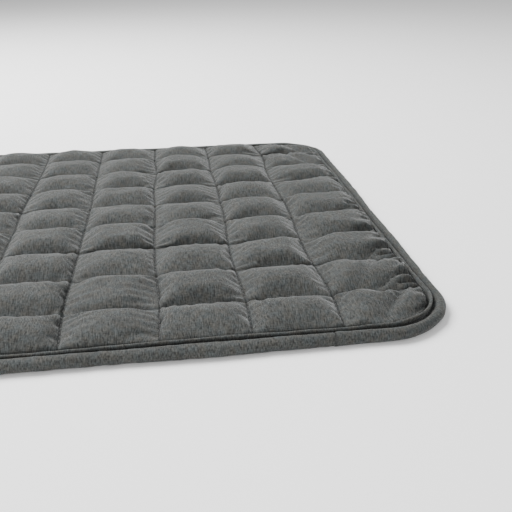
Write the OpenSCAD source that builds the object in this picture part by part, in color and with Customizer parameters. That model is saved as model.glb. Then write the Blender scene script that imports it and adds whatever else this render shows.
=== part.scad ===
// Quilted kneeling pad: a face cloth quilted over wadding in a grid of pockets, laid on a foam
// sheet and a base cloth. Round its edge run a thin corded welt and, outside that, a thick
// padded border roll. Millimetres, +Z up, origin under the middle of the pad.

/* [Pad] */
// Overall width, left to right
pad_w = 610; // [560:10:700]
// Overall depth, front to back
pad_d = 364; // [330:2:420]
// Radius of the outer corners, seen from above
corner_r = 42; // [36:1:60]

/* [Quilting] */
// Pockets from left to right
columns = 12; // [10:1:14]
// Pockets from front to back
rows = 9; // [7:1:11]
// Outer edge to the first seam that runs front to back
edge_column_w = 63.5; // [55:0.5:70]
// Outer edge to the first seam that runs left to right
edge_row_d = 44; // [40:0.5:52]
// How far the wadding rises in a pocket above its seams
pocket_rise = 7; // [4:0.5:8]
// Height that the steeper arcs across the front-to-back seams would reach
steep_rise = 11; // [9:0.5:13]

/* [Layers] */
// Base cloth
base_t = 0.9; // [0.6:0.1:1.4]
// Foam sheet
foam_t = 3.8; // [3:0.1:6]
// Backing cloth of the quilting
scrim_t = 0.4; // [0.3:0.1:0.6]
// Wadding where a seam presses it flat
pressed_t = 0.6; // [0.4:0.1:1]
// Half the width that a seam presses flat
seam_half = 0.5; // [0.4:0.1:1]
// Face cloth
cover_t = 0.8; // [0.6:0.1:1.2]

/* [Edge] */
// Border roll, outside diameter
roll_dia = 7; // [6:0.2:8]
// Cloth of the border roll
band_t = 0.8; // [0.6:0.1:1.2]
// Welt, outside diameter
welt_dia = 1.9; // [1.6:0.1:2.4]
// Cord inside the welt
welt_cord_dia = 1; // [0.8:0.1:1.2]
// Sewing thread
thread_dia = 0.6; // [0.4:0.1:0.7]
// Right-hand side to the join in the border cloth, along the front edge
join_in = 71; // [65:1:200]

/* [Hidden] */
$fn = 96;

// Heights of the layers
foam_z = base_t;
scrim_z = foam_z + foam_t;
fill_z = scrim_z + scrim_t;
seam_z = fill_z + pressed_t;
pocket_top_z = seam_z + pocket_rise + cover_t;
thread_z = seam_z + cover_t + thread_dia / 2;

// Distances inward from the outer edge
roll_r = roll_dia / 2;
seam_u = roll_dia + 0.6;
neck_u = roll_dia + 1.2;
panel_u = roll_dia + 2.7;
allowance_u = 13;
core_u = allowance_u + 0.4;

// Seam allowances lie flat on each other inside the edge: base cloth, border cloth, welt tape
tail_t = 0.7;
tail_z = roll_r - tail_t / 2;
tape_t = 0.8;
tape_z = tail_z + tail_t;
welt_u = neck_u + tape_t / 2;
welt_z = 6.3;

// The steep round shoulder that ends the pockets at the corners
shoulder_r = 11;
shoulder_foot = 0.6;
shoulder_lap = 0.01;

row_seams = seam_places(pad_d, edge_row_d, rows);
column_seams = seam_places(pad_w, edge_column_w, columns);
end_u = panel_u + cover_t - seam_half;
row_edges = concat([-pad_d / 2 + end_u], row_seams, [pad_d / 2 - end_u]);
column_edges = concat([-pad_w / 2 + end_u], column_seams, [pad_w / 2 - end_u]);

// The seams between n pockets: the outer two are edge_w wide, the others share the rest
function seam_places(size, edge_w, n) =
    [for (i = [0 : n - 2]) -size / 2 + edge_w + i * (size - 2 * edge_w) / (n - 2)];

// Radius of the arc that rises so far over a chord
function arc_r(chord, rise) = (chord * chord / 4 + rise * rise) / (2 * rise);

// ---- Shared shapes ----

// The pad's outline, inset evenly
module outline(inset) {
    w = pad_w - 2 * inset;
    d = pad_d - 2 * inset;
    r = corner_r - inset;
    square([w - 2 * r, d], center = true);
    square([w, d - 2 * r], center = true);
    for (x = [-1, 1], y = [-1, 1])
        translate([x * (w / 2 - r), y * (d / 2 - r)]) circle(r);
}

module sheet(inset, z, t) {
    translate([0, 0, z]) linear_extrude(t) outline(inset);
}

// Carries a cross-section round the pad's edge. In the section, x is the distance inward from
// the outer edge and y is the height.
module round_edge() {
    straight_w = pad_w - 2 * corner_r;
    straight_d = pad_d - 2 * corner_r;
    for (side = [0, 180]) {
        rotate(side) translate([-straight_w / 2, -pad_d / 2, 0])
            rotate([90, 0, 90]) linear_extrude(straight_w) children();
        rotate(side + 90) translate([-straight_d / 2, -pad_w / 2, 0])
            rotate([90, 0, 90]) linear_extrude(straight_d) children();
    }
    for (x = [0, 1], y = [0, 1])
        mirror([x, 0, 0]) mirror([0, y, 0])
            translate([straight_w / 2, straight_d / 2, 0])
            rotate_extrude(angle = 90) translate([corner_r, 0]) mirror([1, 0]) children();
}

// A cylinder that lies along X. Where it crosses seam height it is as wide as the chord.
module lying_arc(length, chord, rise) {
    r = arc_r(chord, rise);
    translate([-length / 2, 0, seam_z + rise - r]) rotate([0, 90, 0]) cylinder(r = r, h = length);
}

// One pocket's bulge. Its crest runs level from left to right and drops steeply at both ends.
module pocket(i, j) {
    w = column_edges[j + 1] - column_edges[j] - 2 * seam_half;
    d = row_edges[i + 1] - row_edges[i] - 2 * seam_half;
    root_z = seam_z - pressed_t / 2;
    x = (column_edges[j] + column_edges[j + 1]) / 2;
    y = (row_edges[i] + row_edges[i + 1]) / 2;
    translate([x, y, 0])
        intersection() {
            translate([-w / 2, -d / 2, root_z]) cube([w, d, pocket_rise + pressed_t]);
            lying_arc(w, d, pocket_rise);
            rotate(90) lying_arc(d, w, steep_rise);
        }
}

// The block with a steep round shoulder that trims the four corner pockets
module shoulder_block() {
    inset = panel_u + cover_t;
    shoulder_z = seam_z + shoulder_foot;
    round_edge() intersection() {
        square([inset + shoulder_r + shoulder_lap, pocket_top_z + shoulder_r]);
        union() {
            translate([inset + shoulder_r, shoulder_z]) circle(shoulder_r);
            translate([inset, 0]) square([shoulder_r, shoulder_z]);
        }
    }
    sheet(inset + shoulder_r, 0, pocket_top_z + shoulder_r);
}

module pockets() {
    last_row = rows - 1;
    last_column = columns - 1;
    for (i = [0 : last_row], j = [0 : last_column])
        if (i % last_row != 0 || j % last_column != 0) pocket(i, j);
    intersection() {
        for (i = [0, last_row], j = [0, last_column]) pocket(i, j);
        shoulder_block();
    }
}

// ---- Quilted panel ----

module top_cover() {
    color("dimgray") difference() {
        union() {
            sheet(panel_u, scrim_z, seam_z + cover_t - scrim_z);
            translate([0, 0, cover_t]) pockets();
        }
        sheet(panel_u + cover_t, 0, seam_z);
        pockets();
    }
}

module batting() {
    color("whitesmoke") {
        sheet(panel_u + cover_t, fill_z, pressed_t);
        pockets();
    }
}

module quilt_scrim() {
    color("lightgray") sheet(panel_u + cover_t, scrim_z, scrim_t);
}

module row_quilting_thread() {
    length = pad_w - 2 * (panel_u + cover_t);
    color("darkslategray") for (y = row_seams)
        translate([-length / 2, y, thread_z]) rotate([0, 90, 0]) cylinder(d = thread_dia, h = length);
}

// These runs stop either side of each thread that they cross
module column_quilting_thread() {
    gap = thread_dia * 1.5;
    color("darkslategray") for (x = column_seams, i = [0 : rows - 1])
        translate([x, row_edges[i] + gap, thread_z]) rotate([-90, 0, 0])
            cylinder(d = thread_dia, h = row_edges[i + 1] - row_edges[i] - 2 * gap);
}

// ---- Core and base ----

module foam_core() {
    color("lightsteelblue") sheet(core_u, foam_z, foam_t);
}

// Its edge turns up beside the border roll and lies under the other allowances in the seam
module base_cloth() {
    color("darkslategray") {
        sheet(neck_u, 0, base_t);
        round_edge() {
            translate([neck_u, 0]) square([base_t, tail_z]);
            translate([roll_dia, tail_z - base_t]) square([allowance_u - roll_dia, base_t]);
        }
    }
}

// ---- Edge ----

module welt_tape() {
    color("dimgray") round_edge() difference() {
        union() {
            translate([welt_u, welt_z]) circle(d = welt_dia);
            translate([neck_u, tape_z]) square([tape_t, welt_z - tape_z]);
            translate([neck_u, tape_z]) square([allowance_u - neck_u, scrim_z - tape_z]);
        }
        translate([welt_u, welt_z]) circle(d = welt_cord_dia);
    }
}

module welt_cord() {
    color("whitesmoke") round_edge() translate([welt_u, welt_z]) circle(d = welt_cord_dia);
}

// The border cloth goes round its filling, and its two raw edges lie together in the seam. A
// narrow groove round the roll is where its ends are joined.
module border_band() {
    color("dimgray") difference() {
        round_edge() difference() {
            union() {
                translate([roll_r, roll_r]) circle(roll_r);
                translate([roll_dia - band_t, tail_z])
                    square([allowance_u - roll_dia + band_t, tail_t]);
            }
            translate([roll_r, roll_r]) circle(roll_r - band_t);
        }
        join_groove();
    }
}

module join_groove() {
    groove_w = thread_dia + 0.1;
    translate([pad_w / 2 - join_in - groove_w / 2, -pad_d / 2 + roll_r, roll_r])
        rotate([0, 90, 0]) difference() {
            cylinder(d = roll_dia + 2, h = groove_w);
            translate([0, 0, -1]) cylinder(d = roll_dia - band_t, h = groove_w + 2);
            translate([-roll_dia, 0, -1]) cube([2 * roll_dia, roll_dia, groove_w + 2]);
        }
}

module border_filler() {
    color("whitesmoke") round_edge() translate([roll_r, roll_r]) circle(roll_r - band_t);
}

// Lies on the border cloth's tail, in the groove between the roll and the welt
module edge_seam_thread() {
    color("darkslategray") round_edge()
        translate([seam_u, tape_z + thread_dia / 2]) circle(d = thread_dia);
}

// The other thread of the same seam, in the groove between the roll and the base cloth
module edge_seam_under_thread() {
    color("darkslategray") round_edge()
        translate([seam_u, tail_z - base_t - thread_dia / 2]) circle(d = thread_dia);
}

// Half a turn round the outside of the roll
module border_join_thread() {
    wire = band_t / 2;
    color("darkslategray") translate([pad_w / 2 - join_in, -pad_d / 2 + roll_r, roll_r])
        rotate([180, -90, 0]) rotate_extrude(angle = 180)
        translate([roll_r - wire / 2, 0]) circle(d = wire);
}

top_cover();
batting();
quilt_scrim();
foam_core();
base_cloth();
row_quilting_thread();
column_quilting_thread();
welt_tape();
welt_cord();
border_band();
border_filler();
edge_seam_thread();
edge_seam_under_thread();
border_join_thread();
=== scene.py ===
import math

import bpy
import numpy as np
from mathutils import Matrix, Vector


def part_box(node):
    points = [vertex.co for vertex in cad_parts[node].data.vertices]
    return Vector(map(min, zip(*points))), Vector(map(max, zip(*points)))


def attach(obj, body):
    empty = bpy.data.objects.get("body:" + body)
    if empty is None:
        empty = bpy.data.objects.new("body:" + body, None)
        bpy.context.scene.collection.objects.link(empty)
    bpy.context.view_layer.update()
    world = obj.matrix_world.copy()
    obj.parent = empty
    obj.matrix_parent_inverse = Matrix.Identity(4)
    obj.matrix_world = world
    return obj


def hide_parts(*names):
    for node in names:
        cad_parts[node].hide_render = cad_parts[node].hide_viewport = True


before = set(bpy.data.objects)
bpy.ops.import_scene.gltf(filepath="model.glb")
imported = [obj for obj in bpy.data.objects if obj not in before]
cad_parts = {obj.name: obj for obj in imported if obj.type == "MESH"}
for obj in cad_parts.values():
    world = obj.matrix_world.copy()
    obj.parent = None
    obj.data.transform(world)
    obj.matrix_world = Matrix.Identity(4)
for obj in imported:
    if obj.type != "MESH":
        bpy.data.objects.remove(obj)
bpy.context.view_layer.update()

# The looks of the quilted kneeling pad, in metres and in the CAD frame.
# The face cloth starts as a simulation: larger than the pad, it is drawn in to its quilting seams
# and swells in between. Its pockets, folds and gathers are then shaped from that swelling.
# Everything round the edge is a cross-section carried along the pad's outline.

MM = 0.001
SEED = 11

# ---- Sizes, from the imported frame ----

band_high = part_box("border_band")[1]
cover_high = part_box("top_cover")[1]
scrim_low, scrim_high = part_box("quilt_scrim")
welt_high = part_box("welt_tape")[1]
cord_low, cord_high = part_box("welt_cord")
seam_low, seam_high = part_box("edge_seam_thread")
join_low, join_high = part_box("border_join_thread")
row_low, row_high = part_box("row_quilting_thread")
column_low, column_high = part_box("column_quilting_thread")

half_w, half_d = band_high[0], band_high[1]
ROLL_DIA = band_high[2]
PANEL_INSET = half_w - cover_high[0]
CORNER_R = 42 * MM
THREAD_DIA = seam_high[2] - seam_low[2]
SEAM_U = half_w - seam_high[0] + THREAD_DIA / 2
WELT_U = half_w - cord_high[0] + (cord_high[2] - cord_low[2]) / 2
WELT_Z = (cord_low[2] + cord_high[2]) / 2
WELT_DIA = 2 * (welt_high[2] - WELT_Z)
JOIN_X = (join_low[0] + join_high[0]) / 2
SEAM_Z = row_low[2]
CREST_Z = cover_high[2]

# Quilting grid, as in the CAD: the outermost seams are at the ends of the CAD threads' boxes
COLUMNS, ROWS = 12, 9
column_seams = np.linspace(column_low[0] + THREAD_DIA / 2, column_high[0] - THREAD_DIA / 2,
                           COLUMNS - 1)
row_seams = np.linspace(row_low[1] + THREAD_DIA / 2, row_high[1] - THREAD_DIA / 2, ROWS - 1)


# ---- Small helpers ----

def between(p0, p1, p2, p3, t):
    """A smooth curve from p1 to p2 as t runs from 0 to 1; p0 and p3 are the values beyond them."""
    return p1 + 0.5 * t * (p2 - p0 + t * (2 * p0 - 5 * p1 + 4 * p2 - p3
                                          + t * (3 * (p1 - p2) + p3 - p0)))


def smooth_noise(length, step, spacing, seed):
    """A smooth random curve: `length` samples `step` apart, with features `spacing` apart."""
    rng = np.random.default_rng(seed)
    knots = max(int(length * step / spacing) + 4, 6)
    values = rng.normal(0, 1, knots)
    at = np.arange(length) * step / spacing + 1
    i = np.minimum(at.astype(int), knots - 3)
    t = at - i
    return between(values[i - 1], values[i], values[i + 1], values[i + 2], t)


def ring_noise(share, features, seed):
    """A smooth random curve over shares 0 to 1 of a closed ring, with that many features."""
    values = np.random.default_rng(seed).normal(0, 1, features)
    at = share * features
    i = at.astype(int)
    t = at - i
    return between(*(values[(i + k) % features] for k in (-1, 0, 1, 2)), t)


def bell(x, width):
    """1 at x = 0, falling smoothly to nothing at about twice the width."""
    return np.exp(-(x / width) ** 2)


def smooth_step(x, low, high):
    """0 at low, 1 at high and smooth in between."""
    t = np.clip((x - low) / (high - low), 0, 1)
    return t * t * (3 - 2 * t)


def make_mesh(name, points, faces, smooth=True):
    mesh = bpy.data.meshes.new(name)
    mesh.from_pydata(np.asarray(points, float).tolist(), [], [list(map(int, f)) for f in faces])
    mesh.validate()
    mesh.update()
    if smooth:
        mesh.shade_smooth()
    else:
        mesh.shade_flat()
    piece = bpy.data.objects.new(name, mesh)
    bpy.context.scene.collection.objects.link(piece)
    return piece


def store(piece, name, values, kind="FLOAT", key="value"):
    layer = piece.data.attributes.new(name, kind, "POINT")
    layer.data.foreach_set(key, np.asarray(values, np.float32).ravel())


def store_rest(piece, places):
    """Where each point lies on the flat cloth, for the weave."""
    store(piece, "rest_co", places, "FLOAT_VECTOR", "vector")


def grid_faces(rows, columns, wrap_rows=False, wrap_columns=False):
    """Quads of a grid of points that is stored row by row."""
    r = np.arange(rows if wrap_rows else rows - 1)
    c = np.arange(columns if wrap_columns else columns - 1)
    rr, cc = np.meshgrid(r, c, indexing="ij")
    r1, c1 = (rr + 1) % rows, (cc + 1) % columns
    return np.stack([rr * columns + cc, rr * columns + c1, r1 * columns + c1, r1 * columns + cc],
                    -1).reshape(-1, 4)


def grid_rim(rows, columns):
    """The indices of the outermost points of such a grid, in order round it."""
    index = np.arange(rows * columns).reshape(rows, columns)
    return np.concatenate([index[0, :-1], index[:-1, -1], index[-1, :0:-1], index[:0:-1, 0]])


class Outline:
    """The pad's outer edge, walked anticlockwise from the middle of the front."""

    def __init__(self, spacing, extra=()):
        w, d, r = half_w - CORNER_R, half_d - CORNER_R, CORNER_R
        arc = r * math.pi / 2
        self.length = 4 * (w + d) + 4 * arc
        even = np.arange(round(self.length / spacing)) * self.length / round(self.length / spacing)
        self.s = np.unique(np.concatenate([even, np.asarray(extra, float)]))
        self.count = len(self.s)
        self.share = self.s / self.length
        pieces = [("line", w, (0, -half_d), (1, 0)), ("arc", arc, (w, -d), -math.pi / 2),
                  ("line", 2 * d, (half_w, -d), (0, 1)), ("arc", arc, (w, d), 0.0),
                  ("line", 2 * w, (w, half_d), (-1, 0)), ("arc", arc, (-w, d), math.pi / 2),
                  ("line", 2 * d, (-half_w, d), (0, -1)), ("arc", arc, (-w, -d), math.pi),
                  ("line", w, (-w, -half_d), (1, 0))]
        self.at = np.zeros((self.count, 2))
        self.inward = np.zeros((self.count, 2))
        start = 0.0
        for kind, length, place, way in pieces:
            here = (self.s >= start - 1e-9) & (self.s < start + length - 1e-9)
            t = self.s[here] - start
            if kind == "line":
                self.at[here] = np.array(place) + t[:, None] * np.array(way)
                self.inward[here] = (-way[1], way[0])
            else:
                angle = way + t / r
                out = np.stack([np.cos(angle), np.sin(angle)], -1)
                self.at[here] = np.array(place) + r * out
                self.inward[here] = -out
            start += length

    def place(self, u, z):
        """Points at distances u inward and heights z; both are (count, k) or (k,)."""
        u = np.broadcast_to(u, (self.count,) + np.shape(u)[-1:])
        z = np.broadcast_to(z, u.shape)
        xy = self.at[:, None, :] + self.inward[:, None, :] * u[..., None]
        return np.concatenate([xy, z[..., None]], -1)


def carry(name, outline, u, z, painted_shade=None):
    """Carries a closed cross-section along the outline: u and z are (count, k) arrays, and the last
    argument is how much shade is painted on each point in its fold, from 0 to 1."""
    points = outline.place(u, z)
    count, k = points.shape[:2]
    faces = grid_faces(count, k, wrap_rows=True, wrap_columns=True)
    piece = make_mesh(name, points.reshape(-1, 3), faces)
    steps = np.linalg.norm(np.diff(points, axis=1), axis=-1)
    girth = np.concatenate([np.zeros((count, 1)), np.cumsum(steps, axis=1)], 1)
    along = np.repeat(((outline.s - JOIN_X) % outline.length)[:, None], k, axis=1)
    store_rest(piece, np.stack([along, girth, 0 * girth], -1))
    if painted_shade is not None:
        store(piece, "painted_shade", np.broadcast_to(painted_shade, (count, k)))
    return piece


# ---- Camera and stage ----

# Fitted to the photo's seams and edges
CAMERA_LENS, SENSOR_WIDTH = 46.95, 36.0
CAMERA_YAW, CAMERA_PITCH, CAMERA_ROLL = 0.138, 0.436, -0.007
CAMERA_PLACE = (column_seams[-1] - 86.46 * MM, -half_d - 276.3 * MM, 184.45 * MM)
FLOOR_HALF = 6
FLOOR_DROP = 0.2 * MM
FLOOR_GREY = 0.93
WORLD_STRENGTH = 0.62


def add_camera():
    data = bpy.data.cameras.new("photo_view")
    data.sensor_width = SENSOR_WIDTH
    data.lens = CAMERA_LENS
    data.clip_start = 0.01
    camera = bpy.data.objects.new("photo_view", data)
    camera.matrix_world = (Matrix.Translation(CAMERA_PLACE)
                           @ Matrix.Rotation(-CAMERA_YAW, 4, "Z")
                           @ Matrix.Rotation(math.pi / 2 - CAMERA_PITCH, 4, "X")
                           @ Matrix.Rotation(CAMERA_ROLL, 4, "Z"))
    bpy.context.scene.collection.objects.link(camera)
    bpy.context.scene.camera = camera


def add_light(name, place, aim, size, power):
    data = bpy.data.lights.new(name, "AREA")
    data.shape = "RECTANGLE"
    data.size, data.size_y = size
    data.energy = power
    light = bpy.data.objects.new(name, data)
    way = np.array(aim, float) - np.array(place, float)
    light.rotation_euler = Vector(way).to_track_quat("-Z", "Y").to_euler()
    light.location = place
    bpy.context.scene.collection.objects.link(light)


def add_stage():
    world = bpy.data.worlds.new("studio")
    world.use_nodes = True
    inputs = world.node_tree.nodes["Background"].inputs
    inputs["Color"].default_value = (1, 1, 1, 1)
    inputs["Strength"].default_value = WORLD_STRENGTH
    bpy.context.scene.world = world
    aim = (0.1, 0.0, 0.0)
    add_light("overhead", place=(-0.48, 0.48, 1.1), aim=aim, size=(1.1, 0.8), power=55)
    add_light("front_fill", place=(0.15, -1.2, 0.6), aim=aim, size=(1.2, 0.6), power=8)
    h = FLOOR_HALF
    floor = make_mesh("floor", [(-h, -h, 0), (h, -h, 0), (h, h, 0), (-h, h, 0)], [(0, 1, 2, 3)],
                      smooth=False)
    floor.location.z = -FLOOR_DROP
    n = Nodes("pale_floor")
    n.constants(colour=(FLOOR_GREY,) * 3 + (1,), roughness=0.9, specular=0.1)
    use(floor, n.material)


# ---- Materials ----

class Nodes:
    """Short names for building a node tree."""

    def __init__(self, name):
        self.material = bpy.data.materials.new(name)
        self.material.use_nodes = True
        self.tree = self.material.node_tree
        self.shader = self.tree.nodes["Principled BSDF"]

    def add(self, kind, inputs=(), **values):
        """A node with these properties, and with values or sockets plugged into its inputs."""
        node = self.tree.nodes.new(kind)
        for key, value in values.items():
            setattr(node, key, value)
        for key, value in dict(inputs).items():
            self.plug(node.inputs[key], value)
        return node

    def plug(self, socket, value):
        if hasattr(value, "is_linked"):
            self.tree.links.new(value, socket)
        else:
            socket.default_value = value

    def maths(self, operation, a, b=0.0):
        return self.add("ShaderNodeMath", {0: a, 1: b}, operation=operation).outputs[0]

    def scaled(self, vector, scale, turn=0.0):
        inputs = {"Vector": vector, "Scale": scale, "Rotation": (0, 0, turn)}
        return self.add("ShaderNodeMapping", inputs).outputs[0]

    def noise(self, vector, scale=1.0, detail=2.0, rough=0.5):
        inputs = {"Vector": vector, "Scale": scale, "Detail": detail, "Roughness": rough}
        return self.add("ShaderNodeTexNoise", inputs).outputs["Fac"]

    def spread(self, value, low, high, to_low=0.0, to_high=1.0):
        inputs = {"Value": value, "From Min": low, "From Max": high,
                  "To Min": to_low, "To Max": to_high}
        return self.add("ShaderNodeMapRange", inputs).outputs[0]

    def blend(self, amount, a, b, mode="MIX"):
        inputs = {"Factor": amount, 6: a, 7: b}
        return self.add("ShaderNodeMix", inputs, data_type="RGBA", blend_type=mode).outputs[2]

    def attribute(self, name, output="Vector"):
        node = self.add("ShaderNodeAttribute", attribute_name=name, attribute_type="GEOMETRY")
        return node.outputs[output]

    def bump(self, height, distance, strength=1.0):
        inputs = {"Strength": strength, "Distance": distance, "Height": height}
        self.plug(self.shader.inputs["Normal"], self.add("ShaderNodeBump", inputs).outputs[0])

    def constants(self, **values):
        names = {"colour": "Base Color", "roughness": "Roughness", "sheen": "Sheen Weight",
                 "sheen_roughness": "Sheen Roughness", "sheen_tint": "Sheen Tint",
                 "specular": "Specular IOR Level"}
        for key, value in values.items():
            self.shader.inputs[names[key]].default_value = value


YARN = 0.75 * MM
DARK_YARN, LIGHT_YARN = (0.0175, 0.018, 0.018), (0.067, 0.0682, 0.067)
COOL, WARM = (0.90, 0.985, 1.0, 1), (1.0, 0.965, 0.88, 1)
# Near black, painted into the cloth's folds and seams as painted shade
PAINTED_FOLD_SHADE = (0.003, 0.003, 0.003, 1)


def heather_cloth(name, level=1.0, turn=0.0, slub=4.2 * MM, sheen=0.5):
    """Dark grey heathered plain weave: long slubs one way, shorter ones across, fine yarns and
    mottling, with painted shade in its folds and seams, as deep as a point attribute says."""
    n = Nodes(name)
    at = n.attribute("rest_co")

    def yarns(x, y, **values):
        return n.noise(n.scaled(at, (1 / x, 1 / y, 1), turn), **values)

    streak = yarns(YARN, slub, detail=2.0, rough=0.55)
    short = yarns(0.6 * MM, 1.8 * MM, detail=1.0)
    across = yarns(2.6 * MM, 0.6 * MM, detail=1.0)
    mottle = n.noise(at, scale=1 / (24 * MM), detail=2.0)
    tint = n.noise(at, scale=1 / (5 * MM), detail=2.0, rough=0.6)
    yarn = n.maths("ADD", n.maths("MULTIPLY", streak, 0.5),
                   n.maths("ADD", n.maths("MULTIPLY", short, 0.3),
                           n.maths("MULTIPLY", across, 0.2)))
    shade = n.spread(yarn, 0.38, 0.62)
    dark, light = (tuple(c * level for c in yarns) + (1,) for yarns in (DARK_YARN, LIGHT_YARN))
    colour = n.blend(shade, dark, light)
    colour = n.blend(1.0, colour, n.blend(n.spread(tint, 0.35, 0.65), COOL, WARM), "MULTIPLY")
    grey = n.spread(mottle, 0.3, 0.7, 0.86, 1.12)
    grey_colour = n.add("ShaderNodeCombineColor")
    for socket in grey_colour.inputs:
        n.plug(socket, grey)
    colour = n.blend(1.0, colour, grey_colour.outputs[0], "MULTIPLY")
    # Painted shade: folds and seams are painted towards near black, as deep as the point attribute
    # says
    painted_shade = n.attribute("painted_shade", "Fac")
    colour = n.blend(n.maths("MULTIPLY", painted_shade, 0.6), colour, PAINTED_FOLD_SHADE)
    n.plug(n.shader.inputs["Base Color"], colour)
    bands = 2 * math.pi / YARN / 20  # a wave texture makes 20 / (2 pi) bands per unit at scale 1
    inputs = {"Vector": n.scaled(at, (1, 1, 1), turn), "Scale": bands, "Distortion": 2.6,
              "Detail": 1.0}
    waves = (n.add("ShaderNodeTexWave", inputs, bands_direction=way) for way in "XY")
    weave = n.maths("MULTIPLY", *(wave.outputs["Fac"] for wave in waves))
    height = n.maths("ADD", n.maths("MULTIPLY", weave, 0.22), yarn)
    n.bump(height, 0.55 * MM, 0.9)
    n.plug(n.shader.inputs["Roughness"], n.spread(yarn, 0.35, 0.65, 0.95, 0.8))
    # Less sheen and gloss where shade is painted, so that the painted shade stays dark
    n.plug(n.shader.inputs["Sheen Weight"], n.spread(painted_shade, 0.0, 1.0, sheen, 0.14))
    n.plug(n.shader.inputs["Specular IOR Level"], n.spread(painted_shade, 0.0, 1.0, 0.25, 0.0))
    n.constants(sheen_roughness=0.22, sheen_tint=(0.8, 0.82, 0.82, 1))
    return n.material


def plain_fibre(name, colour, grain, bump, sheen=0.2):
    """Matt fibrous stuff: wadding, scrim, foam, cord or thread. grain is its feature size."""
    n = Nodes(name)
    at = n.add("ShaderNodeTexCoord").outputs["Object"]
    coarse = n.noise(at, scale=1 / (grain * 6), detail=3.0)
    fine = n.noise(at, scale=1 / grain, detail=3.0, rough=0.7)
    both = n.maths("ADD", n.maths("MULTIPLY", coarse, 0.5), n.maths("MULTIPLY", fine, 0.5))
    mix = n.spread(both, 0.35, 0.65)
    dim = tuple(c * 0.72 for c in colour) + (1,)
    n.plug(n.shader.inputs["Base Color"], n.blend(mix, dim, tuple(colour) + (1,)))
    n.plug(n.shader.inputs["Roughness"], n.spread(fine, 0.3, 0.7, 0.95, 0.75))
    n.bump(fine, bump)
    n.constants(sheen=sheen, sheen_roughness=0.5, specular=0.2)
    return n.material


def use(piece, material):
    piece.data.materials.clear()
    piece.data.materials.append(material)


# ---- Quilted face: the sewing plan and the simulation ----

# The cloth solver works better on a larger model
SIM_SCALE = 10.0
SIM_STEP = 3.0 * MM
# How much larger than the panel the cloth is cut, along and across, and more at its short ends
TAKE_UP = (1.07, 1.10)
EDGE_TAKE_UP = 0.08
START_NOISE = 0.02 * MM
# Frames simulated, and the one by which the cloth is drawn in to its seams
FRAMES, DRAWN_IN = 46, 22
CLOTH = {"quality": 5, "mass": 0.01, "tension_stiffness": 30, "compression_stiffness": 30,
         "shear_stiffness": 6, "bending_stiffness": 1.5, "tension_damping": 5,
         "compression_damping": 5, "shear_damping": 5, "bending_damping": 0.5,
         "use_pressure": True, "uniform_pressure_force": 45}
# How far the sewn lines wander, and over how many mm
COLUMN_WANDER, ROW_WANDER = (0.8 * MM, 38.0), (0.9 * MM, 50.0)


def corner_patch(a, b, corner, seam_x, seam_y, inset):
    """A corner pocket between its two seams and the round corner, as a Coons patch: a and b run
    from the seams, 0, to the outer edges, 1."""
    sx, sy = np.sign(corner)
    w, d, r = half_w - inset, half_d - inset, CORNER_R - inset
    centre = np.array([sx * (w - r), sy * (d - r)])
    middle = centre + r * math.sqrt(0.5) * np.array([sx, sy])

    def edge(t, start, straight_end, from_angle):
        """From start along a straight stretch and then an eighth of the round corner."""
        straight = np.linalg.norm(np.subtract(straight_end, start))
        arc = r * math.pi / 4
        s = t * (straight + arc)
        gone = np.minimum(s, straight)[..., None] / straight
        line = np.array(start) + gone * np.subtract(straight_end, start)
        angle = from_angle + (math.pi / 4 - from_angle) * np.clip((s - straight) / arc, 0, 1)
        curve = centre + r * np.stack([sx * np.cos(angle), sy * np.sin(angle)], -1)
        return np.where((s <= straight)[..., None], line, curve)

    side = edge(b, (sx * w, seam_y), (sx * w, sy * (d - r)), 0.0)
    front = edge(a, (seam_x, sy * d), (sx * (w - r), sy * d), math.pi / 2)
    low = np.stack([seam_x + a * (sx * w - seam_x), np.full_like(a, seam_y)], -1)
    left = np.stack([np.full_like(b, seam_x), seam_y + b * (sy * d - seam_y)], -1)
    aa, bb = a[..., None], b[..., None]
    c00, c10, c01 = (np.array(c) for c in ((seam_x, seam_y), (sx * w, seam_y), (seam_x, sy * d)))
    flat = ((1 - aa) * (1 - bb) * c00 + aa * (1 - bb) * c10 + (1 - aa) * bb * c01
            + aa * bb * middle)
    return (1 - aa) * left + aa * side + (1 - bb) * low + bb * front - flat


def panel_points(xs, ys, inset):
    """A grid over the pad at one inset, with its corners drawn in to the round outline."""
    x, y = np.meshgrid(xs, ys)
    points = np.stack([x, y], -1)
    w, d = half_w - inset, half_d - inset
    for sx, seam_x in ((-1, column_seams[0]), (1, column_seams[-1])):
        for sy, seam_y in ((-1, row_seams[0]), (1, row_seams[-1])):
            here = ((x - seam_x) * sx >= 0) & ((y - seam_y) * sy >= 0)
            a = (x[here] - seam_x) / (sx * w - seam_x)
            b = (y[here] - seam_y) / (sy * d - seam_y)
            points[here] = corner_patch(a, b, (sx, sy), seam_x, seam_y, inset)
    return points


def panel_lines(inset, step):
    """Grid lines over the pad that fall on every seam, and which of the lines are seams."""
    lines = []
    for half, seams in ((half_w - inset, column_seams), (half_d - inset, row_seams)):
        edges = np.concatenate([[-half], seams, [half]])
        counts = [max(int(round((b - a) / step)), 4) for a, b in zip(edges[:-1], edges[1:])]
        places = [np.linspace(a, b, n + 1)[:-1] for a, b, n in zip(edges[:-1], edges[1:], counts)]
        lines += [np.concatenate(places + [[edges[-1]]]), np.concatenate([[0], np.cumsum(counts)])]
    return lines


def seam_wander(points, column_lines, row_lines):
    """Sewn lines are never quite straight: each wanders a little sideways."""
    def stray(count, wander, seed):
        far, spacing = wander
        return far * smooth_noise(count, SIM_STEP / MM, spacing, seed)

    moved = points.copy()
    ny, nx = points.shape[:2]
    for k, j in enumerate(column_lines[1:-1]):
        moved[:, j, 0] += stray(ny, COLUMN_WANDER, SEED + 40 + k)
    for k, i in enumerate(row_lines[1:-1]):
        moved[i, :, 1] += stray(nx, ROW_WANDER, SEED + 80 + k)
    return moved


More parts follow.
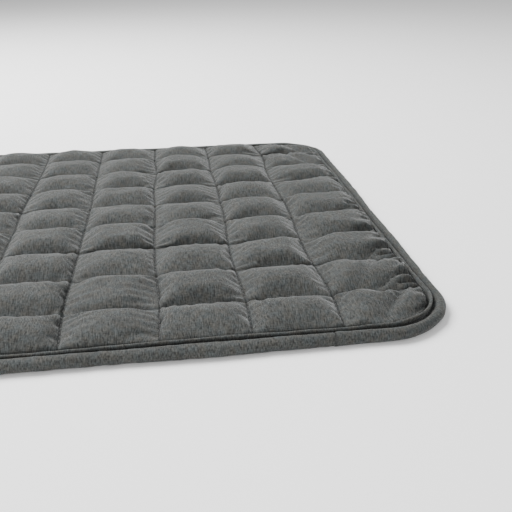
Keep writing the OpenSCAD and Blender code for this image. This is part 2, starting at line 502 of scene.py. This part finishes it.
def simulate_face():
    """Draws an oversized cloth in to the seams while pressure swells it. Gives the settled cloth,
    the cut cloth and the sewing plan on one grid, and its lines that are seams."""
    xs, column_lines, ys, row_lines = panel_lines(PANEL_INSET, SIM_STEP)
    nx, ny = len(xs), len(ys)
    flat = panel_points(xs, ys, PANEL_INSET)
    plan = seam_wander(flat, column_lines, row_lines)
    rng = np.random.default_rng(SEED)
    side = smooth_step(np.abs(flat[..., 0]), abs(column_seams[-1]) + 0.015, xs[-1])
    cut = flat * TAKE_UP
    cut[..., 1] *= 1 + EDGE_TAKE_UP * side
    start = np.concatenate([cut, rng.normal(0, START_NOISE, (ny, nx, 1))], -1)
    target = np.concatenate([plan, np.zeros((ny, nx, 1))], -1)

    piece = make_mesh("face_sim", start.reshape(-1, 3) * SIM_SCALE, grid_faces(ny, nx))
    pinned = np.zeros((ny, nx), bool)
    pinned[:, column_lines] = True
    pinned[row_lines, :] = True
    sewn = piece.vertex_groups.new(name="sewn")
    sewn.add(np.nonzero(pinned.ravel())[0].tolist(), 1.0, "REPLACE")
    piece.shape_key_add(name="cut")
    key = piece.shape_key_add(name="sewn")
    key.data.foreach_set("co", (target * SIM_SCALE).ravel())
    frames, drawn_in = ((FRAMES, DRAWN_IN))
    for value, at in ((0.0, 1), (1.0, drawn_in)):
        key.value = value
        key.keyframe_insert("value", frame=at)
    cloth = piece.modifiers.new("Cloth", "CLOTH")
    for key, value in CLOTH.items():
        setattr(cloth.settings, key, value)
    cloth.settings.vertex_group_mass = "sewn"
    cloth.settings.effector_weights.gravity = 0
    cloth.collision_settings.use_collision = False
    cloth.point_cache.frame_start = 1
    cloth.point_cache.frame_end = frames
    scene = bpy.context.scene
    for at in range(1, frames + 1):
        scene.frame_set(at)
    settled = piece.evaluated_get(bpy.context.evaluated_depsgraph_get())
    found = np.empty(nx * ny * 3)
    settled.data.vertices.foreach_get("co", found)
    mesh, action = piece.data, piece.data.shape_keys.animation_data.action
    bpy.data.objects.remove(piece)
    bpy.data.meshes.remove(mesh)
    bpy.data.actions.remove(action)
    scene.frame_set(1)
    return found.reshape(ny, nx, 3) / SIM_SCALE, cut, plan, column_lines, row_lines


def cell_weights(lines, per_cell, crowding):
    """Cubic weights that resample each pocket by itself, closer together near its seams."""
    total = (len(lines) - 1) * per_cell + 1
    weights = np.zeros((total, lines[-1] + 1))
    share = np.linspace(0, 1, per_cell + 1)
    share = share - crowding * np.sin(2 * math.pi * share) / (2 * math.pi)
    for k, (a, b) in enumerate(zip(lines[:-1], lines[1:])):
        for m, t in enumerate(share):
            row = k * per_cell + m
            if m == per_cell and k < len(lines) - 2:
                continue
            at = t * (b - a)
            i = min(int(at), b - a - 1)
            f = at - i
            h = (-0.5 * f + f * f - 0.5 * f ** 3, 1 - 2.5 * f * f + 1.5 * f ** 3,
                 0.5 * f + 2 * f * f - 1.5 * f ** 3, -0.5 * f * f + 0.5 * f ** 3)
            for offset, value in zip((-1, 0, 1, 2), h):
                j = i + offset
                if j < 0:
                    weights[row, a] += 2 * value
                    weights[row, a + 1] -= value
                elif j > b - a:
                    weights[row, b] += 2 * value
                    weights[row, b - 1] -= value
                else:
                    weights[row, a + j] += value
    return weights


# ---- Quilted face: valleys, folds and gathers finer than the simulation's grid ----

# Points in each pocket, along and across, and how much they crowd towards its seams
PER_CELL = (25, 36)
CROWDING = (0.78, 0.5)
VALLEY_Z = SEAM_Z - 0.5 * MM
RIM_Z = scrim_high[2] + 0.25 * MM
FULL = CREST_Z - VALLEY_Z
HIGHEST = 1.06  # the most that a pocket may rise, in shares of FULL
NO_SEAM = 1.0  # the distance to a seam that isn't there
DIP = 0.4 * MM  # how much the valleys deepen where seams cross and away from the long edges

# Folds: how far apart they are, and how deep
PUCKER_PERIOD, PUCKER = 8.4 * MM, 1.0 * MM  # beside the column seams
ROW_FOLD_PERIOD, ROW_FOLD = 8.5 * MM, 0.12 * MM  # beside the row seams
GATHER_PERIOD, GATHER, GATHER_CUT = 8.4 * MM, 0.9 * MM, 0.72  # at the short ends; cut as a share
TEETH_PERIOD, TEETH = 5.6 * MM, 0.6 * MM  # finer gathers at the short ends
LONG_FOLD_PERIOD, LONG_FOLD = 11.0 * MM, 0.35 * MM  # at the long edges


def rim_distance(points, inset):
    """How far inside the pad's round outline, at one inset, each point is."""
    q = np.abs(points) - (np.array([half_w, half_d]) - CORNER_R)
    corner = CORNER_R - inset - np.linalg.norm(np.maximum(q, 0), axis=-1)
    return np.where((q > 0).all(-1), corner, CORNER_R - inset - q.max(-1))


def lumps(points, size, seed, count=24):
    """A smooth random surface with features about `size` apart and a spread of about 1."""
    rng = np.random.default_rng(seed)
    angle = rng.uniform(0, 2 * math.pi, count)
    wave = 2 * math.pi / size * rng.uniform(0.6, 1.4, count)
    phase = rng.uniform(0, 2 * math.pi, count)
    x, y = points[..., 0, None], points[..., 1, None]
    at = (x * np.cos(angle) + y * np.sin(angle)) * wave + phase
    return np.cos(at).sum(-1) * math.sqrt(2 / count)


def ridges(along, away, period, seed):
    """Round folds with sharp valleys between, -0.6 to 0.4, that cross a seam at uneven steps."""
    both = np.stack([along, 0.15 * away], -1)
    phase = math.pi * along / period + 0.9 * lumps(both, 4.5 * period, seed, 12)
    return np.abs(np.sin(phase)) - 0.6


def seam_distances(plan, lines, axis):
    """Each point's distances to the seam before it and the one after it, along an axis."""
    across = plan[..., axis] if axis == 0 else plan[..., axis].T
    before, after = np.zeros_like(across), np.zeros_like(across)
    for a, b in zip(lines[:-1], lines[1:]):
        here = slice(a, b + 1)
        before[:, here] = across[:, here] - across[:, a:a + 1]
        after[:, here] = across[:, b:b + 1] - across[:, here]
    return (before, after) if axis == 0 else (before.T, after.T)


def softened(values, passes):
    """The same grid, averaged along its columns."""
    values = values.copy()
    for _ in range(passes):
        values[1:-1] = (values[:-2] + 2 * values[1:-1] + values[2:]) / 4
    return values


class Quilt:
    """Where the face's points lie in the sewing plan: how far from the seams round them and from
    the rim, and how the gathers of the short ends run."""

    def __init__(self, plan):
        self.plan = plan
        self.x, self.y = plan[..., 0], plan[..., 1]
        self.rim = np.maximum(rim_distance(plan, PANEL_INSET), 0)
        self.left, self.right = seam_distances(plan, np.arange(COLUMNS + 1) * PER_CELL[0], 0)
        self.front, self.back = seam_distances(plan, np.arange(ROWS + 1) * PER_CELL[1], 1)
        self.left[:, :PER_CELL[0]] = self.right[:, -PER_CELL[0]:] = NO_SEAM
        self.front[:PER_CELL[1]] = self.back[-PER_CELL[1]:] = NO_SEAM
        # 1 where the nearest edge is a short end, 0 where it is a long edge
        self.side = smooth_step((half_d - np.abs(self.y)) - (half_w - np.abs(self.x)),
                                -8 * MM, 10 * MM)
        self.reach = np.maximum(4.6 + 1.5 * lumps(plan, 24 * MM, SEED + 33), 2.8) * MM
        self.finger = ridges(self.y - 0.2 * self.rim, self.rim, GATHER_PERIOD, SEED + 31) + 0.6
        self.teeth = ridges(self.y + 0.3 * self.rim, self.rim, TEETH_PERIOD, SEED + 34)


def pocket_heights(q, swelling):
    """The pockets over the valleys: the simulated swelling, brought to the CAD's height, leaned
    to the front, arched down to the column seams and pinched where it is sewn."""
    share = swelling / (CREST_Z - SEAM_Z)
    lean = (0.9 + 0.42 * q.back / (q.front + q.back)) * (1 - 0.5 * q.side * bell(q.rim, 17 * MM))
    rise = FULL * np.where(share < 1, share ** lean, 1 + 0.5 * (share - 1))
    rise *= 1 + 0.05 * lumps(q.plan, 34 * MM, SEED + 1) + 0.02 * lumps(q.plan, 13 * MM, SEED + 2)

    # The simulation's coarse grid leaves a comb of ridges near the column seams: average it out
    near = (bell(np.minimum(q.left, q.right), 13 * MM)
            * smooth_step(np.minimum(q.front, q.back), 0.5 * MM, 5 * MM))
    rise += 0.85 * near * (softened(rise, 16) - rise)

    across = np.abs(q.left - q.right) / (q.left + q.right)
    for end, away in ((slice(None, PER_CELL[0]), q.right), (slice(-PER_CELL[0], None), q.left)):
        across[:, end] = smooth_step(away[:, end], 20 * MM, 0) * 0.9
    rise *= 1.03 - 0.33 * across ** 2.6
    for away in (q.left, q.right):
        rise *= 0.1 + 0.9 * np.sqrt(1 - np.clip(1 - away / (2.4 * MM), 0, 1) ** 2)
    for away in (q.front, q.back):
        rise *= 1 - 0.3 * np.exp(-away / (1.2 * MM))

    gather = q.side * bell(q.rim, q.reach)
    end = 1 - q.side + q.side * smooth_step(q.rim, 0.9 * MM, 3.2 * MM) ** 0.7
    rise *= (end * (1 - 0.1 * (1 - q.side) * np.exp(-q.rim / (1.4 * MM)))
             * (1 - gather * (0.02 + GATHER_CUT * (1 - q.finger))))
    return rise


def fold_heights(q):
    """The folds that the stitches pull into the cloth, up and down."""
    folds = np.zeros_like(q.x)
    for k, away in enumerate((q.left, q.right)):
        length = (5.5 + 2.0 * lumps(q.plan, 30 * MM, SEED + 5 + k)) * MM
        fold = ridges(q.y + 0.25 * away, away, PUCKER_PERIOD, SEED + 11 + k)
        patch = 0.25 + 0.85 * smooth_step(lumps(q.plan, 45 * MM, SEED + 15 + k), 0.0, 1.6)
        folds += (PUCKER * patch * smooth_step(away, 0.2 * MM, 2.2 * MM)
                  * bell(away, np.maximum(length, 3 * MM)) * fold)
    for k, away in enumerate((q.front, q.back)):
        fold = ridges(q.x, away, ROW_FOLD_PERIOD, SEED + 21 + k)
        folds += ROW_FOLD * smooth_step(away, 0.2 * MM, 1.5 * MM) * bell(away, 5 * MM) * fold
    folds += (GATHER * q.side * smooth_step(q.rim, 0.3 * MM, 2.6 * MM)
              * bell(q.rim, 1.4 * q.reach) * (q.finger - 0.6))
    folds += (TEETH * q.side * smooth_step(q.rim, 0.6 * MM, 2.2 * MM)
              * bell(q.rim, 3.8 * MM) * q.teeth)
    fold = ridges(q.x, q.rim, LONG_FOLD_PERIOD, SEED + 32)
    folds += (LONG_FOLD * (1 - q.side) * smooth_step(q.rim, 0.4 * MM, 3.0 * MM)
              * bell(q.rim, 6 * MM) * fold)
    return folds


def ground_height(q):
    """The valleys between the pockets, from the rim inward."""
    crossing = (bell(np.minimum(q.left, q.right), 2.2 * MM)
                * bell(np.minimum(q.front, q.back), 2.2 * MM))
    hem = smooth_step(q.rim, 0.8 * q.side * MM, (0.7 + 2.3 * q.side) * MM)
    ground = RIM_Z + (VALLEY_Z - RIM_Z + DIP * (1 - q.side)) * hem
    ground -= DIP * crossing + DIP * (1 - q.side) * smooth_step(q.rim, 1 * MM, 5 * MM)
    return ground


def painted_crease_shade(q):
    """How much shade is painted on each point: in the seams, at the rim and down in the gathers."""
    nearest = np.minimum(np.minimum(q.left, q.right), 1.5 * np.minimum(q.front, q.back))
    at_rim = (0.2 + 0.8 * q.side) * bell(q.rim, (0.8 + 1.2 * q.side) * MM)
    painted_shade = np.maximum(bell(nearest, 0.9 * MM), at_rim)
    painted_shade = np.maximum(painted_shade, 0.7 * q.side * bell(q.rim, q.reach) * (1 - q.finger) ** 2)
    return np.maximum(painted_shade, 0.9 * q.side * bell(q.rim, 3.2 * MM) * (0.4 - q.teeth) ** 1.5)


def shaped_face():
    """The face's surface, made from the simulated cloth on a finer grid, with the cut cloth and the
    painted shade of its folds and seams on the same grid."""
    settled, cut, plan, column_lines, row_lines = simulate_face()
    wx = cell_weights(column_lines, PER_CELL[0], CROWDING[0])
    wy = cell_weights(row_lines, PER_CELL[1], CROWDING[1])
    fine, rest, plan = (np.einsum("ai,ijk,bj->abk", wy, grid, wx, optimize=True)
                        for grid in (settled, cut, plan))
    q = Quilt(plan)
    rise = pocket_heights(q, np.maximum(fine[..., 2], 0))
    strength = np.clip(rise / FULL, 0, 1) ** 0.5
    rise = np.maximum(rise + fold_heights(q) * strength, 0)
    fine[..., 2] = ground_height(q) + np.minimum(rise, FULL * HIGHEST)
    return fine, rest, painted_crease_shade(q)


def add_face(fine, rest, painted_shade):
    ny, nx = fine.shape[:2]
    piece = make_mesh("quilted_face", fine.reshape(-1, 3), grid_faces(ny, nx))
    store_rest(piece, np.concatenate([rest, np.zeros((ny, nx, 1))], -1))
    # How much shade is painted on each point of the face, for its material
    store(piece, "painted_shade", painted_shade)
    return piece


def closed_slab(name, top, bottom):
    """A closed body between two grids of the same shape."""
    ny, nx = top.shape[:2]
    count = ny * nx
    ring = grid_rim(ny, nx)
    after = np.roll(ring, -1)
    faces = grid_faces(ny, nx)
    walls = np.stack([ring, ring + count, after + count, after], -1)
    points = np.concatenate([top.reshape(-1, 3), bottom.reshape(-1, 3)])
    return make_mesh(name, points, np.concatenate([faces, faces[:, ::-1] + count, walls]))


# The wadding: room under the face, how far it is drawn in, its thin edge's width and thickness,
# and within how many grid points it keeps to the face's lowest
FACE_ROOM, WADDING_IN, THIN_EDGE = 1.2 * MM, 0.8 * MM, 2.6 * MM
LEAST_WADDING, LOW_PASSES = 0.1 * MM, 4


def add_wadding(fine):
    """The filling under the face, clear of its creases, down to the flat backing cloth."""
    height = fine[..., 2]
    for _ in range(LOW_PASSES):
        padded = np.pad(height, 1, mode="edge")
        height = np.min([padded[i:i + height.shape[0], j:j + height.shape[1]]
                         for i in range(3) for j in range(3)], axis=0)
    top = fine[::2, ::2].copy()
    top[..., 2] = height[::2, ::2]
    at_rim = rim_distance(top[..., :2], PANEL_INSET) < THIN_EDGE
    top[..., :2] *= 1 - WADDING_IN / np.array([half_w, half_d])
    low = scrim_high[2] + 0.02 * MM
    top[..., 2] = np.maximum(top[..., 2] - FACE_ROOM, low + LEAST_WADDING)
    top[at_rim, 2] = low + LEAST_WADDING
    bottom = top.copy()
    bottom[..., 2] = low
    return closed_slab("wadding", top, bottom)


# ---- Stitches ----

# Each ring's share of the stitch's length and thickness, and its lift in thicknesses
STITCH_RINGS = ((0.0, 0.3, -0.45), (0.12, 0.85, -0.12), (0.5, 1.0, 0.05),
                (0.88, 0.85, -0.12), (1.0, 0.3, -0.45))
# Quilting: from stitch to stitch, a stitch's length, radius and lift, and the room at crossings
QUILT_PITCH, QUILT_STITCH, QUILT_RADIUS = 3.9 * MM, 3.3 * MM, 0.2 * MM
QUILT_LIFT, CROSSING_ROOM = 0.12 * MM, 2.2 * MM


def add_stitches(name, starts, ends, ups, radius, sides=6):
    """Short thick threads, each a closed tube whose two ends dive into the cloth."""
    starts, ends, ups = (np.asarray(v, float) for v in (starts, ends, ups))
    way = ends - starts
    way /= np.linalg.norm(way, axis=1, keepdims=True)
    side = np.cross(way, ups)
    side /= np.linalg.norm(side, axis=1, keepdims=True)
    up = np.cross(side, way)
    angle = np.arange(sides) * 2 * math.pi / sides
    rings = []
    for share, thick, lift in STITCH_RINGS:
        centre = starts + (ends - starts) * share + up * lift * radius * 2
        ring = centre[:, None] + radius * thick * (np.cos(angle)[None, :, None] * side[:, None]
                                                   + np.sin(angle)[None, :, None] * up[:, None])
        rings.append(ring)
    points = np.stack(rings, 1)
    count, k = points.shape[:2]
    one = grid_faces(k, sides, wrap_columns=True)
    faces = [list(f + n * k * sides) for n in range(count) for f in one]
    for n in range(count):
        faces.append([n * k * sides + m for m in range(sides)][::-1])
        faces.append([n * k * sides + (k - 1) * sides + m for m in range(sides)])
    return make_mesh(name, points.reshape(-1, 3), faces)


def along_line(line, pitch, length):
    """Starts and ends of stitches at even steps along a line of points."""
    run = np.concatenate([[0], np.cumsum(np.linalg.norm(np.diff(line, axis=0), axis=1))])
    count = int((run[-1] - length) / pitch)
    first = (run[-1] - (count - 1) * pitch - length) / 2 + pitch * np.arange(count)
    return tuple(np.stack([np.interp(at, run, line[:, k]) for k in range(3)], -1)
                 for at in (first, first + length))


def quilting_stitches(name, lines, crossings, axis):
    """Stitches along sewn lines of the face, leaving out those on a crossing."""
    starts, ends = [], []
    for line in lines:
        a, b = along_line(line + (0, 0, QUILT_LIFT), QUILT_PITCH, QUILT_STITCH)
        middle = (a + b)[:, axis] / 2
        clear = np.abs(middle[:, None] - crossings[None]).min(1) > CROSSING_ROOM
        starts.append(a[clear])
        ends.append(b[clear])
    starts, ends = np.concatenate(starts), np.concatenate(ends)
    ups = np.tile((0.0, 0.0, 1.0), (len(starts), 1))
    return add_stitches(name, starts, ends, ups, QUILT_RADIUS)


# ---- Edge ----

BRIDGE_PITCH = 7.9 * MM  # from one place where the roll isn't drawn in to the next
TWIST_PITCH = 2.9 * MM  # the welt's slanting ripples
JOIN_STEPS = JOIN_X + np.linspace(-1.6, 1.6, 17) * MM
SAG = 0.12 * MM
THINNEST_ROLL = 2.85 * MM
FILLING_RADIUS = 2.4 * MM
CORD_RADIUS = 0.42 * MM
WELT_DENT_AT = 14 * MM  # beyond the roll's join

# Unevenness along the outline: how deep, and how many features round the pad
ROLL_BULGES, ROLL_WAVES, ROLL_DENTS = (0.28 * MM, 48), (0.42 * MM, 84), (0.09 * MM, 150)
ROLL_RIPPLES, ROLL_HOLDS, FILLING_WAVES = (0.2 * MM, 260), (0.25, 90), (0.08 * MM, 120)
WELT_IN, WELT_IN_FINE = (0.36 * MM, 62), (0.08 * MM, 210)
WELT_UP, WELT_UP_FINE = (0.22 * MM, 55), (0.08 * MM, 240)
WELT_TWISTS, WELT_GRAIN = (0.5, 170), (0.06 * MM, 330)

# Raw edges that run into the edge seam: mm inward and mm up, before and after the section
ROLL_TAILS = (((12.4, 3.8), (9.2, 3.8), (8.15, 3.84), (7.5, 4.4)),
              ((7.5, 3.15), (9.2, 3.15), (12.4, 3.15)))
WELT_TAILS = (((12.4, 4.55), (9.1, 4.55), (8.95, 5.0)),
              ((8.2, 5.0), (8.2, 3.9), (12.4, 3.9)))


def uneven(share, wave, seed):
    depth, features = wave
    return depth * ring_noise(share, features, seed)


def with_tails(u, z, tails):
    """Adds fixed points, given in mm, before and after a cross-section."""
    before, after = (np.tile(np.array(points).T[:, None] * MM, (1, len(u), 1)) for points in tails)
    return tuple(np.concatenate([before[k], v, after[k]], 1) for k, v in enumerate((u, z)))


def welt_path(share):
    """How far the welt strays inward and up, at shares along the outline."""
    inward = -0.18 * MM + uneven(share, WELT_IN, SEED + 50) + uneven(share, WELT_IN_FINE, SEED + 51)
    up = uneven(share, WELT_UP, SEED + 52) + uneven(share, WELT_UP_FINE, SEED + 53)
    return (np.clip(inward, -0.5 * MM, 0.28 * MM)[:, None],
            np.clip(up, -0.45 * MM, 0.4 * MM)[:, None])


def even_pitch(line, pitch):
    """The nearest pitch that goes round the outline a whole number of times."""
    return line.length / round(line.length / pitch)


def add_border_roll():
    """The border cloth round its filling. Its two raw edges lie together in the edge seam."""
    line = Outline(1.3 * MM, JOIN_STEPS)
    share, s = line.share, line.s[:, None]
    angle = np.radians(np.concatenate([np.linspace(24, 100, 11), np.linspace(110, 250, 15),
                                       np.linspace(262, 346, 8)]))[None]
    r = ROLL_DIA / 2
    outer = np.maximum(-np.cos(angle), 0)
    inner = bell(angle - math.radians(22), math.radians(34))
    top = np.maximum(np.sin(angle), 0)
    short_side = np.abs(line.inward[:, :1])

    # Fuller towards the welt on the long edges, and flatter there on the short ends
    shoulder = bell(angle - math.radians(48), math.radians(26))
    radius = r + (0.3 - 0.75 * short_side) * MM * shoulder
    radius += uneven(share, ROLL_BULGES, SEED + 60)[:, None] * (0.3 + 0.7 * outer)
    radius += uneven(share, ROLL_WAVES, SEED + 64)[:, None] * outer ** 1.5
    radius += uneven(share, ROLL_DENTS, SEED + 61)[:, None] * (0.5 + 0.5 * top)
    slant = (share[:, None] + 0.0016 * np.sin(angle)) % 1.0
    depth, features = ROLL_RIPPLES
    ripple = np.abs(ring_noise(slant.ravel(), features, SEED + 62).reshape(slant.shape))
    radius -= depth * ripple * (0.35 + 0.65 * outer + 0.4 * inner)

    # Drawn in by the edge seam, between its bridges
    bridge = np.cos(2 * math.pi * s / even_pitch(line, BRIDGE_PITCH))
    held = 0.75 + uneven(share, ROLL_HOLDS, SEED + 63)[:, None]
    radius += inner * held * (0.3 * MM * bell(bridge - 1, 0.45) - 0.12 * MM)

    # The join: a narrow groove with a fuller end of cloth on one side
    at_join = s - JOIN_X
    radius -= 0.55 * MM * bell(at_join, 0.45 * MM)
    fuller = np.where(at_join > 0, bell(at_join, 5.5 * MM), 0)
    radius += 0.28 * MM * fuller * (1 - bell(at_join, 0.5 * MM))

    radius = np.maximum(radius, THINNEST_ROLL)
    u = r + radius * np.cos(angle)
    z = np.maximum(r - SAG + radius * np.sin(angle), 0)
    u, z = with_tails(u, z, ROLL_TAILS)
    # Painted shade in the groove beside the welt, darkest on the raw edges in the seam
    groove_shade = bell(angle - angle[0, 0], np.radians(17 + 16 * short_side))
    groove_shade = np.pad(groove_shade, ((0, 0), tuple(map(len, ROLL_TAILS))), constant_values=1.0)
    return carry("border_roll", line, u, z, 0.8 * groove_shade)


def carry_round(name, line, u, z, r, sides):
    """Carries a round section, with its middle at u and z, along the outline."""
    angle = np.linspace(0, 2 * math.pi, sides + 1)[:-1][None]
    return carry(name, line, u + r * np.cos(angle), z + r * np.sin(angle))


def add_border_filling():
    line = Outline(4 * MM)
    r = FILLING_RADIUS + uneven(line.share, FILLING_WAVES, SEED + 65)[:, None]
    return carry_round("border_filling", line, ROLL_DIA / 2, ROLL_DIA / 2 - 0.1 * MM, r, 14)


def add_welt():
    """A strip folded over a thin cord, its raw edges in the edge seam."""
    line = Outline(0.95 * MM, JOIN_STEPS)
    inward, up = welt_path(line.share)
    angle = np.radians(np.linspace(-52, 232, 15))[None]
    s = line.s[:, None]
    twist = np.sin(2 * math.pi * s / even_pitch(line, TWIST_PITCH) + 1.4 * angle)
    r = np.full(twist.shape, WELT_DIA / 2)
    r += 0.05 * MM * twist * (0.6 + uneven(line.share, WELT_TWISTS, SEED + 55)[:, None])
    r += uneven(line.share, WELT_GRAIN, SEED + 56)[:, None]
    r -= 0.3 * MM * bell(s - JOIN_X - WELT_DENT_AT, 0.7 * MM)
    u, z = with_tails(WELT_U + inward + r * np.cos(angle), WELT_Z + up + r * np.sin(angle),
                      WELT_TAILS)
    # Painted shade on the welt's underside beside the roll, darkest on the raw edges in the seam
    welt_foot_shade = smooth_step(np.abs(angle[0] - math.pi / 2), 2.0, 2.7)
    groove_shade = np.pad(welt_foot_shade, tuple(map(len, WELT_TAILS)), constant_values=1.0)
    return carry("welt", line, u, z, 0.35 * groove_shade)


def add_welt_cord():
    line = Outline(2 * MM)
    inward, up = welt_path(line.share)
    return carry_round("cord_in_welt", line, WELT_U + inward, WELT_Z + up, CORD_RADIUS, 8)


# Edge seam: from stitch to stitch, a stitch's length, radius and slant, and the outline's steps
EDGE_PITCH, EDGE_STITCH, EDGE_RADIUS, EDGE_SLANT = 4 * MM, 3.3 * MM, 0.22 * MM, 0.1 * MM
EDGE_STEP = 0.5 * MM
EDGE_TOP_Z, EDGE_UNDER_Z = 4.55 * MM, 2.9 * MM
# Stitches of the join: half the length, tilt, radius and depth in the roll
JOIN_HALF, JOIN_TILT, JOIN_RADIUS, JOIN_DEPTH = 0.85 * MM, 0.3 * MM, 0.17 * MM, 0.1 * MM


def edge_stitches(name, z, up):
    """A row of stitches along the edge seam. up is 1 for the upper thread, -1 for the lower."""
    fine_line = Outline(EDGE_PITCH / round(EDGE_PITCH / EDGE_STEP))
    points = fine_line.place(np.array([SEAM_U - EDGE_SLANT, SEAM_U + EDGE_SLANT]), np.array([z, z]))
    step = int(round(EDGE_PITCH / EDGE_STEP))
    reach = int(round(EDGE_STITCH / EDGE_STEP))
    first = np.arange(0, fine_line.count - step, step)
    starts, ends = points[first, 0], points[(first + reach) % fine_line.count, 1]
    return add_stitches(name, starts, ends, np.tile((0.0, 0.0, up), (len(first), 1)), EDGE_RADIUS)


def join_stitches():
    """Short stitches across the join, round the outside of the roll."""
    angle = np.radians(np.arange(60, 251, 19))
    r = ROLL_DIA / 2 - JOIN_DEPTH
    centre = np.array([JOIN_X, -half_d + ROLL_DIA / 2, ROLL_DIA / 2 - SAG])
    out = np.stack([0 * angle, np.cos(angle), np.sin(angle)], -1)
    middle = centre + r * out
    half = np.array([JOIN_HALF, 0, 0])
    tilt = np.stack([0 * angle, -np.sin(angle), np.cos(angle)], -1) * JOIN_TILT
    return add_stitches("join_stitches", middle - half - tilt, middle + half + tilt, out,
                        JOIN_RADIUS)


def inward_at(points):
    """The way inward, square to the pad's outline, at points near its edge."""
    inner = np.array([half_w, half_d]) - CORNER_R
    way = np.clip(points, -inner, inner) - points
    return way / np.linalg.norm(way, axis=-1, keepdims=True)


BASE_INSET = 8.4 * MM
# The base cloth's edge as it turns up beside the roll: mm outward and mm up
TURN_UP = ((0.15, 0.5), (0.2, 1.4), (0.2, 2.5), (-0.2, 3.02), (-4.0, 3.05))


def add_base_cloth():
    """Lies under the foam, nearly flat; its edge turns up beside the roll, into the edge seam."""
    xs, _, ys, _ = panel_lines(BASE_INSET, 8 * MM)
    flat = panel_points(xs, ys, BASE_INSET)
    ny, nx = flat.shape[:2]
    rim = rim_distance(flat, BASE_INSET)
    wave = 0.16 * lumps(flat, 60 * MM, SEED + 70) + 0.1 * lumps(flat, 22 * MM, SEED + 71)
    z = (0.3 + np.clip(wave, -0.25, 0.4)) * MM * smooth_step(rim, 0, 12 * MM)
    points = [np.concatenate([flat, z[..., None]], -1).reshape(-1, 3)]
    ring = grid_rim(ny, nx)
    edge = flat.reshape(-1, 2)[ring]
    way = inward_at(edge)
    faces = [grid_faces(ny, nx)]
    below, count = ring, ny * nx
    for out, height in TURN_UP:
        place = edge - way * out * MM
        points.append(np.concatenate([place, np.full((len(ring), 1), height * MM)], -1))
        above = count + np.arange(len(ring))
        faces.append(np.stack([below, np.roll(below, -1), np.roll(above, -1), above], -1))
        below, count = above, count + len(ring)
    points = np.concatenate(points)
    piece = make_mesh("under_cloth", points, np.concatenate(faces))
    store_rest(piece, points * (1, 1, 0))
    return piece


def add_scrim():
    """The quilting's backing cloth, flat but for slight waves."""
    inset = PANEL_INSET + 1.0 * MM
    xs, _, ys, _ = panel_lines(inset, 10 * MM)
    flat = panel_points(xs, ys, inset)
    wave = np.clip(0.04 * lumps(flat, 30 * MM, SEED + 75), -0.1, 0.1)
    z = (scrim_low[2] + scrim_high[2]) / 2 + wave * MM
    points = np.concatenate([flat, z[..., None]], -1).reshape(-1, 3)
    piece = make_mesh("backing_cloth", points, grid_faces(*flat.shape[:2]))
    store_rest(piece, points)
    return piece


# ---- Build ----

add_camera()
add_stage()

heather = heather_cloth("heather_cloth")
# The edge's cloth is the face's cloth painted a little lighter, as painted light on the roll and
# welt, with turned yarns, shorter slubs and less sheen
edge_heather_painted_light = heather_cloth("edge_heather_painted_light", level=1.05, turn=0.8, slub=2.0 * MM, sheen=0.28)
under_heather = heather_cloth("under_heather", level=0.55)
dark_thread = plain_fibre("dark_thread", (0.03, 0.031, 0.031), 0.3 * MM, 0.1 * MM)
white_fibre = plain_fibre("white_fibre", (0.8, 0.8, 0.78), 0.9 * MM, 0.6 * MM)
scrim_fibre = plain_fibre("scrim_fibre", (0.72, 0.72, 0.7), 0.5 * MM, 0.15 * MM)
cord_fibre = plain_fibre("cord_fibre", (0.7, 0.69, 0.65), 0.3 * MM, 0.2 * MM)
foam_stuff = plain_fibre("closed_foam", (0.3, 0.33, 0.36), 0.4 * MM, 0.1 * MM, sheen=0.0)

fine, rest, painted_shade = shaped_face()
face = add_face(fine, rest, painted_shade)
wadding = add_wadding(fine)
row_lines = [fine[k * PER_CELL[1], 2:-2] for k in range(1, ROWS)]
column_lines = [fine[2:-2, k * PER_CELL[0]] for k in range(1, COLUMNS)]

# Each piece with its material, its slot and the CAD nodes that it replaces
pieces = [
    (face, heather, "heather_cloth", ["top_cover"]),
    (wadding, white_fibre, "wadding", ["batting"]),
    (add_scrim(), scrim_fibre, "scrim", ["quilt_scrim"]),
    (add_base_cloth(), under_heather, "base_cloth", ["base_cloth"]),
    (quilting_stitches("row_stitches", row_lines, column_seams, 0), dark_thread, "thread",
     ["row_quilting_thread"]),
    (quilting_stitches("column_stitches", column_lines, row_seams, 1), dark_thread, "thread",
     ["column_quilting_thread"]),
    (add_border_roll(), edge_heather_painted_light, "edge_cloth", ["border_band"]),
    (add_border_filling(), white_fibre, "wadding", ["border_filler"]),
    (add_welt(), edge_heather_painted_light, "edge_cloth", ["welt_tape"]),
    (add_welt_cord(), cord_fibre, "cord", ["welt_cord"]),
    (edge_stitches("edge_stitches", EDGE_TOP_Z, 1.0), dark_thread, "thread", ["edge_seam_thread"]),
    (edge_stitches("edge_under_stitches", EDGE_UNDER_Z, -1.0), dark_thread, "thread",
     ["edge_seam_under_thread"]),
    (join_stitches(), dark_thread, "thread", ["border_join_thread"]),
]
for piece, material, slot, nodes in pieces:
    use(piece, material)
    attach(piece, "root")
    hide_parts(*nodes)
use(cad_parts["foam_core"], foam_stuff)
